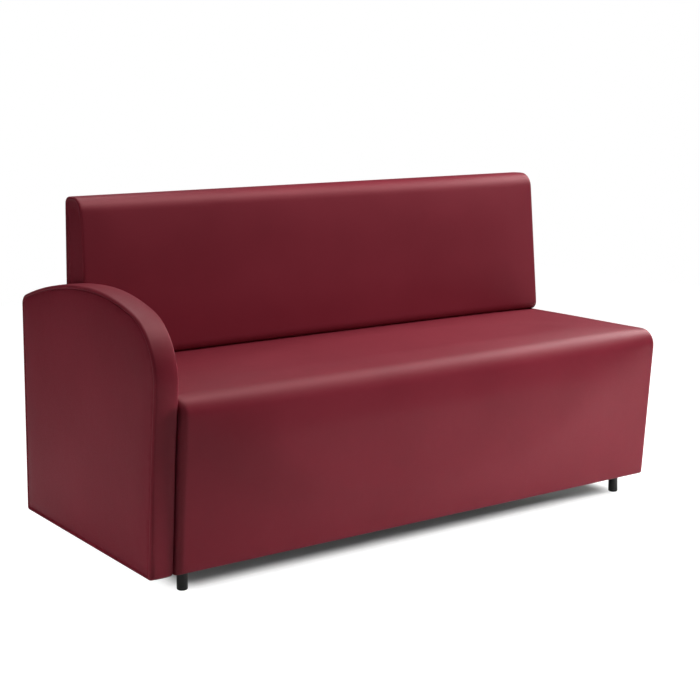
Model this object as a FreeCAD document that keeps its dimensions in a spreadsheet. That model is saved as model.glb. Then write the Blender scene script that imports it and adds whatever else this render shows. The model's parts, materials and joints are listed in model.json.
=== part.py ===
import FreeCAD, Part
import Sketcher
import math
import os
from types import SimpleNamespace

# A restaurant banquette with one arm: a timber base on levelling feet, a padded seat and back, one arm.
# Millimetres, +Z up, the front towards -Y, the arm at the -X end, the origin on the floor under the
# middle of the bench.

DIMENSIONS = {
    # Whole bench
    "overall_width": 1500,
    "overall_depth": 700,
    "overall_height": 850,
    "floor_clearance": 56,
    "seat_height": 452,
    # Form of the base
    "front_rake": 40,
    "nose_radius": 45,
    "ledge_radius": 12,
    "seat_crown_middle": 6,
    "seat_crown_end": 1.5,
    "front_crown_middle": 5,
    "front_crown_end": 1.5,
    # Form of the back
    "back_setback": 145,
    "back_top_thickness": 80,
    "back_foot_thickness": 108,
    "back_top_radius": 36,
    "back_rear_radius": 18,
    "back_crown_middle": 8,
    "back_crown_end": 2.5,
    # Form of the arm
    "arm_thickness": 58,
    "arm_height": 654,
    "arm_rear_height": 592,
    "arm_crest_setback": 310,
    "arm_shoulder_radius": 149,
    "arm_shoulder_angle": 17,
    "arm_rear_corner_radius": 22,
    "arm_foot_corner_radius": 8,
    "arm_edge_radius": 7,
    "arm_seam_inset": 9,
    "arm_joint_gap": 1,
    # Upholstery
    "cover_thickness": 1.2,
    "cover_slack": 0.3,
    "seat_foam_thickness": 95,
    "front_foam_thickness": 18.5,
    "end_foam_thickness": 6.5,
    "ledge_foam_thickness": 10.5,
    "back_foam_thickness": 32,
    "back_top_foam_thickness": 10,
    "arm_face_foam_thickness": 6.5,
    "arm_edge_foam_thickness": 8.5,
    # Boards
    "panel_thickness": 15,
    "end_panel_thickness": 18,
    "spine_thickness": 18,
    "deck_thickness": 12,
    "back_front_board_thickness": 6,
    "back_rear_board_thickness": 4,
    "arm_board_thickness": 8,
    # Rails and posts
    "rail_depth": 40,
    "rail_height": 45,
    "post_width": 30,
    "top_rail_thickness": 20,
    "arm_core_width": 60,
    "divider_scoop": 30,
    # Seat straps
    "strap_width": 70,
    "strap_thickness": 2.5,
    # Feet
    "foot_end_inset": 50,
    "foot_edge_inset": 56,
    "foot_diameter": 25,
    "foot_wall": 2,
    "foot_plate_side": 46,
    "foot_plate_thickness": 3,
    "foot_block_side": 90,
    "foot_block_height": 40,
    "glide_thickness": 6,
    "glide_edge_chamfer": 2,
    "stud_diameter": 8,
    "stud_length": 28,
    "stud_clearance": 0.05,
    "plug_length": 18,
    # Fasteners
    "foot_screw_diameter": 4,
    "foot_screw_length": 24,
    "foot_screw_head_diameter": 8,
    "foot_screw_head_height": 2.2,
    "foot_screw_offset": 15,
    "bolt_diameter": 8,
    "bolt_head_size": 15,
    "bolt_head_height": 5.3,
    "nut_height": 6.5,
    "insert_diameter": 12,
    "insert_length": 15,
    "hole_clearance": 0.3,
    "bolt_head_clearance": 2,
}
CROSS_STRAPS = 10
LONG_STRAPS = 3
CUT_REACH = 60
RIM_CHAMFER = 0.6
STEP_FOLDER = "parts"

doc = FreeCAD.newDocument("banquette")
sheet = doc.addObject("Spreadsheet::Sheet", "dims")
for row, (name, number) in enumerate(DIMENSIONS.items(), start=1):
    sheet.set(f"A{row}", name)
    sheet.set(f"B{row}", str(number))
    sheet.setAlias(f"B{row}", name)
doc.recompute()


class Size:
    """A length held as a number and as the expression that binds it to the sheet."""

    def __init__(self, value, text):
        self.value = value
        self.text = text

    def __add__(self, other):
        other = as_size(other)
        return Size(self.value + other.value, f"({self.text} + {other.text})")

    def __sub__(self, other):
        other = as_size(other)
        return Size(self.value - other.value, f"({self.text} - {other.text})")

    def __mul__(self, other):
        other = as_size(other)
        return Size(self.value * other.value, f"{self.text} * {other.text}")

    def __truediv__(self, other):
        other = as_size(other)
        return Size(self.value / other.value, f"({self.text}) / ({other.text})")

    def __neg__(self):
        return Size(-self.value, f"(0 - {self.text})")


def as_size(number):
    return number if isinstance(number, Size) else Size(number, f"({number})")


def root(size):
    return Size(math.sqrt(size.value), f"sqrt({size.text})")


def sine(angle):
    return Size(math.sin(math.radians(angle.value)), f"sin({angle.text})")


def cosine(angle):
    return Size(math.cos(math.radians(angle.value)), f"cos({angle.text})")


dim = SimpleNamespace(**{name: Size(getattr(sheet, name), f"dims.{name}") for name in DIMENSIONS})
subparts = []


def bind(item, path, size):
    item.setExpression(path, as_size(size).text)


def keep(item):
    """Counts an object among the pieces that are written out."""
    subparts.append(item)
    return item


# Ways of building

def bar(label, x, y, z):
    """A square bar or flat board between a low and a high place on each axis."""
    item = doc.addObject("Part::Box", label)
    for path, (low, high) in zip(("Length", "Width", "Height"), (x, y, z)):
        bind(item, path, high - low)
    for axis, (low, high) in zip("xyz", (x, y, z)):
        bind(item, f"Placement.Base.{axis}", low)
    return item


def rod(label, radius, place, axis, length):
    """A round rod from a place along the x, y or z axis."""
    item = doc.addObject("Part::Cylinder", label)
    turns = {"x": FreeCAD.Rotation(0, 90, 0), "y": FreeCAD.Rotation(0, 0, -90), "z": FreeCAD.Rotation()}
    item.Placement.Rotation = turns[axis]
    bind(item, "Radius", radius)
    bind(item, "Height", length)
    for name, size in zip("xyz", place):
        bind(item, f"Placement.Base.{name}", size)
    return item


def hexagon(label, across_corners, place, length):
    """A bolt head or nut that lies along the y axis."""
    item = doc.addObject("Part::Prism", label)
    item.Placement.Rotation = FreeCAD.Rotation(0, 0, -90)
    bind(item, "Circumradius", across_corners / 2)
    bind(item, "Height", length)
    for name, size in zip("xyz", place):
        bind(item, f"Placement.Base.{name}", size)
    return item


def cut(label, base, tool):
    item = doc.addObject("Part::Cut", label)
    item.Base = base
    item.Tool = tool
    return item


def common(label, base, tool):
    item = doc.addObject("Part::Common", label)
    item.Base = base
    item.Tool = tool
    return item


def join(label, pieces):
    item = doc.addObject("Part::MultiFuse", label)
    item.Shapes = pieces
    return item


def group(label, pieces):
    item = doc.addObject("Part::Compound", label)
    item.Links = pieces
    return item


def chord_radius(start, end, rise):
    """Radius of the arc that stands a given rise above the straight line between two corners."""
    across = end[0] - start[0]
    up = end[1] - start[1]
    chord_squared = across * across + up * up
    return (chord_squared / 4 + rise * rise) / (rise * 2)


def curve(start, end, radius, hollow):
    """The arc between two corners, bulging out of a loop that runs anticlockwise, or into it if hollow."""
    across = end[0].value - start[0].value
    up = end[1].value - start[1].value
    chord = math.hypot(across, up)
    side = -1 if hollow else 1
    to_centre = side * math.sqrt(radius.value ** 2 - chord ** 2 / 4) / chord
    centre_y = (start[0].value + end[0].value) / 2 - up * to_centre
    centre_z = (start[1].value + end[1].value) / 2 + across * to_centre
    circle = Part.Circle(FreeCAD.Vector(centre_y, centre_z, 0), FreeCAD.Vector(0, 0, 1), radius.value)
    first = math.atan2(start[1].value - centre_z, start[0].value - centre_y)
    last = math.atan2(end[1].value - centre_z, end[0].value - centre_y)
    return Part.ArcOfCircle(circle, last, first) if hollow else Part.ArcOfCircle(circle, first, last)


def side_sketch(body, name, loops, x):
    """A sketch in the side view (y across, z up) at a place along x. Each corner of a loop is (y, z), or
    (y, z, radius) where an arc runs to the next corner, or (y, z, radius, "hollow")."""
    sketch = body.newObject("Sketcher::SketchObject", name)
    plane = next(item for item in body.Origin.OriginFeatures if item.Role == "YZ_Plane")
    sketch.AttachmentSupport = [(plane, "")]
    sketch.MapMode = "FlatFace"
    bind(sketch, "AttachmentOffset.Base.z", x)
    for loop in loops:
        first = sketch.GeometryCount
        ends = []
        for number, corner in enumerate(loop):
            following = loop[(number + 1) % len(loop)]
            hollow = len(corner) == 4
            if len(corner) == 2:
                points = [FreeCAD.Vector(place[0].value, place[1].value, 0) for place in (corner, following)]
                sketch.addGeometry(Part.LineSegment(*points), False)
            else:
                sketch.addGeometry(curve(corner, following, corner[2], hollow), False)
            ends.append((2, 1) if hollow else (1, 2))
        for number, corner in enumerate(loop):
            after = (number + 1) % len(loop)
            pair = (first + number, ends[number][1], first + after, ends[after][0])
            sketch.addConstraint(Sketcher.Constraint("Coincident", *pair))
            for kind, size in zip(("DistanceX", "DistanceY"), corner):
                rule = Sketcher.Constraint(kind, first + number, ends[number][0], size.value)
                bind(sketch, f"Constraints[{sketch.addConstraint(rule)}]", size)
            if len(corner) > 2:
                rule = Sketcher.Constraint("Radius", first + number, corner[2].value)
                bind(sketch, f"Constraints[{sketch.addConstraint(rule)}]", corner[2])
    return sketch


def slab(label, loops, x):
    """A body with the given loops in the side view, padded from one place along x to another."""
    body = doc.addObject("PartDesign::Body", label)
    pad = body.newObject("PartDesign::Pad", f"{label}_pad")
    pad.Profile = side_sketch(body, f"{label}_outline", loops, x[0])
    bind(pad, "Length", x[1] - x[0])
    body.Tip = pad
    return body


def padded_form(label, sections):
    """A soft body drawn through side-view outlines at several places along x."""
    body = doc.addObject("PartDesign::Body", label)
    outlines = []
    for number, (x, outline) in enumerate(sections, start=1):
        outlines.append(side_sketch(body, f"{label}_section_{number}", [outline], x))
    loft = body.newObject("PartDesign::AdditiveLoft", f"{label}_loft")
    loft.Profile = outlines[0]
    loft.Sections = outlines[1:]
    body.Tip = loft
    return body


def soften(body, label, kind, size_name, size, chosen):
    """Rounds or chamfers the edges of a body that the test picks out."""
    doc.recompute()
    before = body.Tip
    names = [f"Edge{n}" for n, edge in enumerate(before.Shape.Edges, start=1) if chosen(edge)]
    feature = body.newObject(f"PartDesign::{kind}", label)
    feature.Base = (before, names)
    bind(feature, size_name, size)
    body.Tip = feature
    return body


def rounded(body, label, radius, chosen):
    return soften(body, label, "Fillet", "Radius", radius, chosen)


def chamfered(body, label, size, chosen):
    return soften(body, label, "Chamfer", "Size", size, chosen)


# Main places

front = -dim.overall_depth / 2
rear = dim.overall_depth / 2
arm_outer = -dim.overall_width / 2
arm_inner = arm_outer + dim.arm_thickness
left = arm_inner + dim.arm_joint_gap
right = dim.overall_width / 2
middle = (left + right) / 2
bottom = dim.floor_clearance
top = dim.overall_height
foam_inset = dim.cover_thickness + dim.cover_slack
foam_low = bottom + foam_inset
carcass_low = foam_low + dim.foot_plate_thickness

# Leaning front of the base and of the back

front_foot = front + dim.front_rake
nose_low = dim.seat_height - dim.nose_radius
back_rear = rear - dim.back_setback
back_foot = dim.seat_height + dim.cover_slack
back_front_low = back_rear - dim.back_foot_thickness
back_front_high = back_rear - dim.back_top_thickness
front_pad = foam_inset + dim.front_foam_thickness
back_pad = foam_inset + dim.back_foam_thickness
back_frame_front = back_pad + dim.back_front_board_thickness


def base_face(z, depth):
    """Where the raked front of the base lies at a height, a depth behind its surface."""
    return front_foot - dim.front_rake * (z - bottom) / (nose_low - bottom) + depth


def back_face(z, depth):
    """Where the leaning front of the back lies at a height, a depth behind its surface."""
    lean = back_front_high - back_front_low
    return back_front_low + lean * (z - back_foot) / (top - dim.back_top_radius - back_foot) + depth


# Heights and depths inside the base

strap_top = dim.seat_height - foam_inset - dim.seat_foam_thickness
rail_top = strap_top - dim.strap_thickness * 2
rail_low = rail_top - dim.rail_height
end_panel_top = rail_top + dim.strap_thickness
deck_top = dim.seat_height - foam_inset - dim.ledge_foam_thickness
deck_low = deck_top - dim.deck_thickness
post_front = back_face(back_foot, back_frame_front)
post_rear = back_rear - foam_inset - dim.back_rear_board_thickness
spine_front = post_front - dim.spine_thickness
panel_rear = rear - foam_inset
rear_panel_front = panel_rear - dim.panel_thickness
front_panel_depth = front_pad + dim.panel_thickness
rail_front = base_face(rail_top, front_panel_depth)
frame_left = left + foam_inset + dim.end_foam_thickness
frame_right = right - foam_inset - dim.end_foam_thickness
inside_left = frame_left + dim.end_panel_thickness
inside_right = frame_right - dim.end_panel_thickness
inside = (inside_left, inside_right)
block_front = base_face(carcass_low, front_panel_depth)
block_y = {
    "front": (block_front, block_front + dim.foot_block_side),
    "rear": (rear_panel_front - dim.foot_block_side, rear_panel_front),
}
bolt_rise = (rail_low - carcass_low) / 3
bolt_low = carcass_low + bolt_rise
bolt_high = bolt_low + bolt_rise
post_foot = carcass_low + bolt_rise / 2

# Cutting boxes that reach past the bench on every side

whole_x = (arm_outer - CUT_REACH, right + CUT_REACH)
whole_y = (front - CUT_REACH, rear + CUT_REACH)
whole_z = (bottom - CUT_REACH, top + CUT_REACH)

# Timber of the base

end_outline = [
    (base_face(carcass_low, front_pad), carcass_low),
    (panel_rear, carcass_low),
    (panel_rear, deck_low),
    (spine_front, deck_low),
    (spine_front, end_panel_top),
    (base_face(end_panel_top, front_pad), end_panel_top),
]
end_panel_left = slab("base_end_panel_left_blank", [end_outline], (frame_left, inside_left))
keep(slab("base_end_panel_right", [end_outline], (inside_right, frame_right)))

front_panel_outline = [
    (base_face(carcass_low, front_pad), carcass_low),
    (base_face(carcass_low, front_panel_depth), carcass_low),
    (base_face(rail_top, front_panel_depth), rail_top),
    (base_face(rail_top, front_pad), rail_top),
]
keep(slab("base_front_panel", [front_panel_outline], inside))
keep(bar("base_rear_panel", inside, (rear_panel_front, panel_rear), (carcass_low, deck_low)))
spine = bar("base_spine_panel_blank", inside, (spine_front, post_front), (carcass_low, deck_low))

front_rail_outline = [
    (base_face(rail_low, front_panel_depth), rail_low),
    (rail_front + dim.rail_depth, rail_low),
    (rail_front + dim.rail_depth, rail_top),
    (rail_front, rail_top),
]
keep(slab("seat_front_rail", [front_rail_outline], inside))
keep(bar("seat_rear_rail", inside, (spine_front - dim.rail_depth, spine_front), (rail_low, rail_top)))

scoop_rear = (spine_front - dim.rail_depth, rail_low)
scoop_front = (rail_front + dim.rail_depth, rail_low)
divider_outline = [
    (base_face(carcass_low, front_panel_depth), carcass_low),
    (spine_front, carcass_low),
    (spine_front, rail_low),
    scoop_rear + (chord_radius(scoop_rear, scoop_front, dim.divider_scoop), "hollow"),
    scoop_front,
    (base_face(rail_low, front_panel_depth), rail_low),
]
bay = (inside_right - inside_left) / 3
rear_dividers = []
for side, start in (("left", inside_left + bay), ("right", inside_left + bay * 2)):
    thickness = (start - dim.panel_thickness / 2, start + dim.panel_thickness / 2)
    keep(slab(f"base_divider_{side}", [divider_outline], thickness))
    between = (post_front, rear_panel_front)
    rear_dividers.append(bar(f"rear_box_divider_{side}", thickness, between, (carcass_low, deck_low)))
keep(group("rear_box_dividers", rear_dividers))

# Seat straps

cross_straps = []
strap_pitch = (inside_right - inside_left) / CROSS_STRAPS
for number in range(CROSS_STRAPS):
    start = inside_left + strap_pitch * number + (strap_pitch - dim.strap_width) / 2
    run = (rail_front, spine_front)
    height = (rail_top, end_panel_top)
    cross_straps.append(bar(f"cross_strap_{number + 1}", (start, start + dim.strap_width), run, height))
keep(group("seat_straps_front_to_rear", cross_straps))

long_straps = []
long_pitch = (spine_front - rail_front) / LONG_STRAPS
for number in range(LONG_STRAPS):
    start = rail_front + long_pitch * number + (long_pitch - dim.strap_width) / 2
    run = (frame_left, frame_right)
    height = (end_panel_top, strap_top)
    long_straps.append(bar(f"long_strap_{number + 1}", run, (start, start + dim.strap_width), height))
keep(group("seat_straps_lengthwise", long_straps))

# Padded form of the base


def base_outline(inset, seat_crown, front_crown):
    seat_back = (back_front_low, dim.seat_height - inset)
    nose_top = (front + dim.nose_radius, dim.seat_height - inset)
    nose_front = (front + inset, nose_low)
    foot = (front_foot + inset, bottom + inset)
    return [
        foot,
        (rear - inset, bottom + inset),
        (rear - inset, dim.seat_height - dim.ledge_radius, dim.ledge_radius - inset),
        (rear - dim.ledge_radius, dim.seat_height - inset),
        seat_back + (chord_radius(seat_back, nose_top, seat_crown),),
        nose_top + (dim.nose_radius - inset,),
        nose_front + (chord_radius(nose_front, foot, front_crown),),
    ]


def base_form(label, inset):
    end = base_outline(inset, dim.seat_crown_end, dim.front_crown_end)
    centre = base_outline(inset, dim.seat_crown_middle, dim.front_crown_middle)
    return padded_form(label, [(left + inset, end), (middle, centre), (right - inset, end)])


base_outside = base_form("base_outside", as_size(0))
base_lining = base_form("base_lining", dim.cover_thickness)
base_padding = base_form("base_padding", foam_inset)

seat_space = bar("seat_space", whole_x, (front - CUT_REACH, spine_front), (strap_top, top))
keep(common("seat_foam", base_padding, seat_space))
front_space_outline = [
    (front - CUT_REACH, bottom - CUT_REACH),
    (base_face(bottom - CUT_REACH, front_pad), bottom - CUT_REACH),
    (base_face(strap_top, front_pad), strap_top),
    (front - CUT_REACH, strap_top),
]
keep(common("base_front_foam", base_padding, slab("front_space", [front_space_outline], whole_x)))
end_foam_outline = [
    (base_face(foam_low, front_pad), foam_low),
    (panel_rear, foam_low),
    (panel_rear, deck_top),
    (spine_front, deck_top),
    (spine_front, strap_top),
    (base_face(strap_top, front_pad), strap_top),
]
end_foam_left = slab("base_end_foam_left_blank", [end_foam_outline], (left + foam_inset, frame_left))
keep(slab("base_end_foam_right", [end_foam_outline], (frame_right, right - foam_inset)))

# Posts of the back and the slots they pass through

post_top = top - foam_inset - dim.back_top_foam_thickness - dim.top_rail_thickness
post_outline = [
    (post_front, post_foot),
    (post_rear, post_foot),
    (post_rear, post_top),
    (back_face(post_top, back_frame_front), post_top),
    (post_front, back_foot),
]
post_places = {
    "left": inside_left,
    "middle": middle - dim.post_width / 2,
    "right": inside_right - dim.post_width,
}
post_blanks = {}
slot_list = []
for name, start in post_places.items():
    post_blanks[name] = slab(f"back_post_{name}_blank", [post_outline], (start, start + dim.post_width))
    across = (start - dim.hole_clearance, start + dim.post_width + dim.hole_clearance)
    deep = (post_front - dim.hole_clearance, post_rear + dim.hole_clearance)
    low = deck_low - dim.hole_clearance
    high = back_foot + foam_inset
    slot_list.append(bar(f"post_slot_{name}", across, deep, (low, high)))
post_slots = group("post_slots", slot_list)

deck_blank = bar("rear_deck_blank", (frame_left, frame_right), (spine_front, panel_rear), (deck_low, deck_top))
keep(cut("rear_deck_board", deck_blank, post_slots))
ledge_space = bar("ledge_space", whole_x, (spine_front, rear + CUT_REACH), (deck_top, top))
keep(cut("ledge_foam", common("ledge_foam_blank", base_padding, ledge_space), post_slots))

# Timber of the back

back_low = back_foot + foam_inset
board_top = post_top + dim.top_rail_thickness
rear_board_top = top - dim.back_rear_radius
board_outline = [
    (back_face(back_low, back_pad), back_low),
    (back_face(back_low, back_frame_front), back_low),
    (back_face(board_top, back_frame_front), board_top),
    (back_face(board_top, back_pad), board_top),
]
frame_width = (frame_left, frame_right)
keep(slab("back_front_board", [board_outline], frame_width))
keep(bar("back_rear_board", frame_width, (post_rear, back_rear - foam_inset), (back_low, rear_board_top)))
top_rail_outline = [
    (back_face(post_top, back_frame_front), post_top),
    (post_rear, post_top),
    (post_rear, board_top),
    (back_face(board_top, back_frame_front), board_top),
]
keep(slab("back_top_rail", [top_rail_outline], frame_width))
bottom_rail_top = back_low + dim.rail_height
bottom_rail_outline = [
    (back_face(back_low, back_frame_front), back_low),
    (post_front + dim.rail_depth, back_low),
    (post_front + dim.rail_depth, bottom_rail_top),
    (back_face(bottom_rail_top, back_frame_front), bottom_rail_top),
]
bottom_rails = []
for name, first, second in (("left", "left", "middle"), ("right", "middle", "right")):
    run = (post_places[first] + dim.post_width, post_places[second])
    bottom_rails.append(slab(f"back_bottom_rail_{name}", [bottom_rail_outline], run))
keep(group("back_bottom_rails", bottom_rails))

# Padded form of the back


def back_outline(inset, crown):
    upper = (back_front_high + inset, top - dim.back_top_radius)
    lower = (back_front_low + inset, back_foot + inset)
    return [
        lower,
        (back_rear - inset, back_foot + inset),
        (back_rear - inset, top - dim.back_rear_radius, dim.back_rear_radius - inset),
        (back_rear - dim.back_rear_radius, top - inset),
        (back_front_high + dim.back_top_radius, top - inset, dim.back_top_radius - inset),
        upper + (chord_radius(upper, lower, crown),),
    ]


def back_form(label, inset):
    end = back_outline(inset, dim.back_crown_end)
    centre = back_outline(inset, dim.back_crown_middle)
    return padded_form(label, [(left + inset, end), (middle, centre), (right - inset, end)])


back_outside = back_form("back_outside", as_size(0))
back_lining = back_form("back_lining", dim.cover_thickness)
back_padding = back_form("back_padding", foam_inset)

back_front_space_outline = [
    (back_front_low - CUT_REACH, back_foot - CUT_REACH),
    (back_face(back_foot - CUT_REACH, back_pad), back_foot - CUT_REACH),
    (back_face(top + CUT_REACH, back_pad), top + CUT_REACH),
    (back_front_low - CUT_REACH, top + CUT_REACH),
]
keep(common("back_foam", back_padding, slab("back_front_space", [back_front_space_outline], whole_x)))
back_top_space_outline = [
    (back_face(board_top, back_pad), board_top),
    (post_rear, board_top),
    (post_rear, rear_board_top),
    (back_rear + CUT_REACH, rear_board_top),
    (back_rear + CUT_REACH, top + CUT_REACH),
    (back_face(top + CUT_REACH, back_pad), top + CUT_REACH),
]
keep(common("back_top_foam", back_padding, slab("back_top_space", [back_top_space_outline], whole_x)))
back_end_outline = [
    (back_face(back_low, back_pad), back_low),
    (back_rear - foam_inset, back_low),
    (back_rear - foam_inset, rear_board_top),
    (post_rear, rear_board_top),
    (post_rear, board_top),
    (back_face(board_top, back_pad), board_top),
]
keep(slab("back_end_foam_left", [back_end_outline], (left + foam_inset, frame_left)))
keep(slab("back_end_foam_right", [back_end_outline], (frame_right, right - foam_inset)))

# Covers of the base and of the back, parted at their seams

seam_x = (left + dim.cover_thickness, right - dim.cover_thickness)
before_left_seam = (left - CUT_REACH, left + dim.cover_thickness)
after_right_seam = (right - dim.cover_thickness, right + CUT_REACH)
base_seam_y = rear - dim.cover_thickness
back_seam_y = back_rear - dim.cover_thickness
dust_seam_z = bottom + dim.cover_thickness

base_shell = cut("base_shell", base_outside, base_lining)
wrap_space = bar("wrap_space", seam_x, (front - CUT_REACH, base_seam_y), (dust_seam_z, top))
seat_cover = common("seat_cover_blank", base_shell, wrap_space)
keep(cut("seat_cover", seat_cover, post_slots))
base_left_space = bar("base_left_space", before_left_seam, whole_y, whole_z)
end_cover_left = common("base_end_cover_left_blank", base_shell, base_left_space)
base_right_space = bar("base_right_space", after_right_seam, whole_y, whole_z)
keep(common("base_end_cover_right", base_shell, base_right_space))
base_rear_space = bar("base_rear_space", seam_x, (base_seam_y, rear + CUT_REACH), whole_z)
keep(common("base_rear_cover", base_shell, base_rear_space))
dust_space = bar("dust_space", seam_x, (front - CUT_REACH, base_seam_y), (bottom - CUT_REACH, dust_seam_z))
dust_cover = common("base_dust_cover_blank", base_shell, dust_space)

back_shell = cut("back_shell", back_outside, back_lining)
back_wrap_space = bar("back_wrap_space", seam_x, (front - CUT_REACH, back_seam_y), whole_z)
keep(cut("back_cover", common("back_cover_blank", back_shell, back_wrap_space), post_slots))
back_rear_space = bar("back_rear_space", seam_x, (back_seam_y, rear + CUT_REACH), whole_z)
keep(common("back_rear_cover", back_shell, back_rear_space))
back_left_space = bar("back_left_space", before_left_seam, whole_y, whole_z)
keep(common("back_end_cover_left", back_shell, back_left_space))
back_right_space = bar("back_right_space", after_right_seam, whole_y, whole_z)
keep(common("back_end_cover_right", back_shell, back_right_space))

# Outline of the arm

crest_y = front + dim.arm_crest_setback
rear_run = rear - crest_y
rear_drop = dim.arm_height - dim.arm_rear_height
rear_radius = (rear_run * rear_run + rear_drop * rear_drop) / (rear_drop * 2)
shoulder_share = as_size(1) - sine(dim.arm_shoulder_angle)
shoulder_reach = dim.arm_shoulder_radius * shoulder_share
crest_radius = (dim.arm_crest_setback - shoulder_reach) / sine(dim.arm_shoulder_angle)
crest_centre = dim.arm_height - crest_radius
turn_drop = (crest_radius - dim.arm_shoulder_radius) * cosine(dim.arm_shoulder_angle)
shoulder_height = crest_centre + turn_drop
shoulder_y = front + dim.arm_shoulder_radius
to_foot_y = front_foot - shoulder_y
to_foot_z = bottom - shoulder_height
to_foot_squared = to_foot_y * to_foot_y + to_foot_z * to_foot_z
front_length = root(to_foot_squared - dim.arm_shoulder_radius * dim.arm_shoulder_radius)
facing_y = (dim.arm_shoulder_radius * to_foot_y + front_length * to_foot_z) / to_foot_squared
facing_z = (dim.arm_shoulder_radius * to_foot_z - front_length * to_foot_y) / to_foot_squared
front_slope = -facing_z / facing_y


def arm_outline(inset, low):
    flat_run = rear_run - inset
    rear_reach = rear_radius - inset
    rear_height = dim.arm_height - rear_radius + root(rear_reach * rear_reach - flat_run * flat_run)
    crest_reach = crest_radius - inset
    turn_y = crest_y - crest_reach * sine(dim.arm_shoulder_angle)
    turn_z = crest_centre + crest_reach * cosine(dim.arm_shoulder_angle)
    shoulder = dim.arm_shoulder_radius - inset
    touch_y = shoulder_y + shoulder * facing_y
    touch_z = shoulder_height + shoulder * facing_z
    return [
        (touch_y + front_slope * (low - touch_z), low),
        (rear - inset, low),
        (rear - inset, rear_height, rear_reach),
        (crest_y, dim.arm_height - inset, crest_reach),
        (turn_y, turn_z, shoulder),
        (touch_y, touch_z),
    ]


def arm_form(label, inset):
    """The padded arm, an inset inside its surface: a slab with soft corners, and rims that are round
    on the surface and chamfered, clear of that round, inside it."""
    side = (arm_outer + inset, arm_inner - inset)
    outline = arm_outline(inset, bottom + inset)
    body = slab(label, [outline], side)
    thickness = (side[1] - side[0]).value

    def is_corner(edge, corner):
        ends = [vertex.Point for vertex in edge.Vertexes]
        across = abs(ends[0].x - ends[-1].x)
        off = max(math.hypot(end.y - corner[0].value, end.z - corner[1].value) for end in ends)
        return abs(across - thickness) < 0.01 and off < 0.01

    rear_corner = dim.arm_rear_corner_radius - inset
    foot_corner = dim.arm_foot_corner_radius - inset
    rounded(body, f"{label}_rear_corner", rear_corner, lambda edge: is_corner(edge, outline[2]))
    at_foot = (outline[0], outline[1])
    rounded(body, f"{label}_feet", foot_corner, lambda edge: any(is_corner(edge, spot) for spot in at_foot))
    faces = (side[0].value, side[1].value)

    def is_rim(edge):
        return any(all(abs(v.Point.x - face) < 0.01 for v in edge.Vertexes) for face in faces)

    if inset.value == 0:
        return rounded(body, f"{label}_rims", dim.arm_edge_radius, is_rim)
    return chamfered(body, f"{label}_rims", (dim.arm_edge_radius - inset) * RIM_CHAMFER, is_rim)


arm_outside = arm_form("arm_outside", as_size(0))
arm_lining = arm_form("arm_lining", dim.cover_thickness)
arm_padding = arm_form("arm_padding", foam_inset)

# Timber and padding of the arm

outer_board_face = arm_outer + foam_inset + dim.arm_face_foam_thickness
core_outer = outer_board_face + dim.arm_board_thickness
inner_board_face = arm_inner - foam_inset - dim.arm_face_foam_thickness
core_inner = inner_board_face - dim.arm_board_thickness
board_inset = foam_inset + dim.arm_edge_foam_thickness
arm_board = arm_outline(board_inset, foam_low)
core_opening = arm_outline(board_inset + dim.arm_core_width, foam_low + dim.arm_core_width)

keep(slab("arm_outer_board", [arm_board], (outer_board_face, core_outer)))
arm_inner_board = slab("arm_inner_board_blank", [arm_board], (core_inner, inner_board_face))
arm_core = slab("arm_core_blank", [arm_board, core_opening], (core_outer, core_inner))

outer_foam_space = bar("outer_foam_space", (arm_outer - CUT_REACH, outer_board_face), whole_y, whole_z)
keep(common("arm_outer_foam", arm_padding, outer_foam_space))
inner_foam_space = bar("inner_foam_space", (inner_board_face, arm_inner + CUT_REACH), whole_y, whole_z)
arm_inner_foam = common("arm_inner_foam_blank", arm_padding, inner_foam_space)
edge_foam_space = bar("edge_foam_space", (outer_board_face, inner_board_face), whole_y, whole_z)
edge_foam = common("arm_edge_foam_blank", arm_padding, edge_foam_space)
frame_space = slab("arm_frame_space", [arm_outline(board_inset, foam_low)], (outer_board_face, inner_board_face))
keep(cut("arm_edge_foam", edge_foam, frame_space))

arm_shell = cut("arm_shell", arm_outside, arm_lining)
outer_seam = arm_outer + dim.arm_seam_inset
inner_seam = arm_inner - dim.arm_seam_inset
outer_cover_space = bar("outer_cover_space", (arm_outer - CUT_REACH, outer_seam), whole_y, whole_z)
keep(common("arm_outer_cover", arm_shell, outer_cover_space))
band_space = bar("band_space", (outer_seam, inner_seam), whole_y, whole_z)
keep(common("arm_band_cover", arm_shell, band_space))
inner_cover_space = bar("inner_cover_space", (inner_seam, arm_inner + CUT_REACH), whole_y, whole_z)
arm_inner_cover = common("arm_inner_cover_blank", arm_shell, inner_cover_space)

# Bolts that hold the arm to the base

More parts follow.
